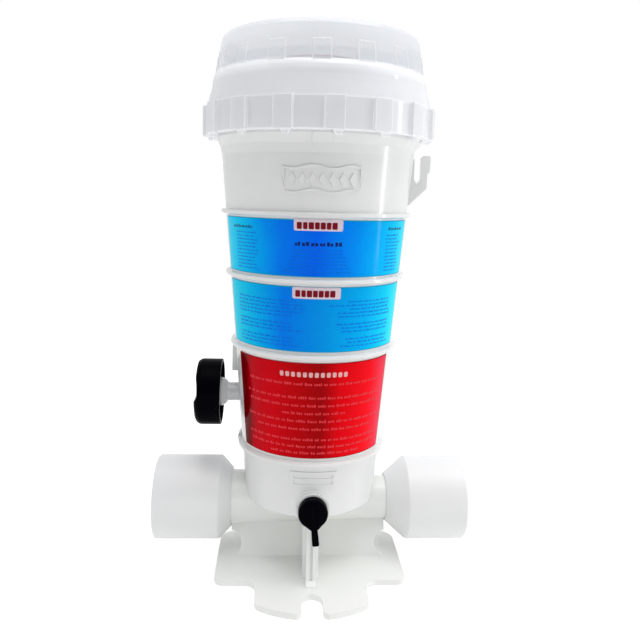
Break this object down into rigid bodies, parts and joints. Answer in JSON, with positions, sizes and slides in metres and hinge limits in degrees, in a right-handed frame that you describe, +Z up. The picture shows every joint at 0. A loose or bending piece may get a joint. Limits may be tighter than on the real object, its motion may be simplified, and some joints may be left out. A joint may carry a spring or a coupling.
{
  "type": "in-line chlorine tablet feeder",
  "caption": "Plumbed-in chlorine tablet feeder: tapered tank with screw cap, side control valve, drain cock, through-pipe with two pipe sockets and a foot plate.",
  "frame": {"origin": "centre of the foot plate's underside, on the tank axis", "axes": "+Z up along the tank axis, -Y towards the labelled front with the drain cock, +X towards the outlet socket"},
  "size_m": [0.2285, 0.1683, 0.3775],
  "materials": {
    "tank_white": "gloss",
    "socket_white": "satin",
    "cap_clear": "gloss",
    "label_red": "gloss",
    "label_blue": "gloss",
    "label_disc": "gloss",
    "seal_rubber": "matte",
    "ball_rubber": "matte",
    "inner_plastic": "satin",
    "clear_grey": "gloss",
    "venturi_grey": "satin",
    "knob_black": "gloss",
    "drain_black": "gloss",
    "screw_steel": "satin"
  },
  "bodies": {
    "tank": {"canister": "tank_white", "flow_base": "tank_white", "inlet_socket": "socket_white", "outlet_socket": "socket_white", "label_upper": "label_blue", "label_middle": "label_blue", "label_lower": "label_red", "tablet_grid": "inner_plastic", "feed_tube": "inner_plastic", "outlet_strainer": "inner_plastic", "venturi_insert": "venturi_grey", "valve_sleeve": "clear_grey", "valve_gasket": "seal_rubber", "valve_nut": "clear_grey", "drain_bush": "tank_white", "drain_gasket": "seal_rubber"},
    "cap_seal": {"cap_oring": "seal_rubber"},
    "cap": {"cap_shell": "cap_clear", "cap_label": "label_disc"},
    "control": {"control_knob": "knob_black", "valve_spindle": "clear_grey", "spindle_orings": "seal_rubber", "knob_screw": "screw_steel"},
    "drain": {"drain_knob": "drain_black", "drain_stem": "drain_black", "drain_oring": "seal_rubber"},
    "ball": {"check_ball": "ball_rubber"}
  },
  "joints": [
    {"name": "cap_lift", "type": "slide", "parent": "tank", "child": "cap_seal", "axis": [0, 0, 1], "range_m": [0, 0.06]},
    {"name": "cap_turn", "type": "hinge", "parent": "cap_seal", "child": "cap", "pos_m": [0, 0, 0.342], "axis": [0, 0, 1], "range_deg": [0, 540]},
    {"name": "control_turn", "type": "hinge", "parent": "tank", "child": "control", "pos_m": [-0.076, 0, 0.123], "axis": [-1, 0, 0], "range_deg": [0, 270]},
    {"name": "drain_turn", "type": "hinge", "parent": "tank", "child": "drain", "pos_m": [0, -0.057, 0.0575], "axis": [0, -1, 0], "range_deg": [0, 90]},
    {"name": "ball_rise", "type": "slide", "parent": "tank", "child": "ball", "axis": [0, 0, 1], "range_m": [0, 0.007]}
  ]
}
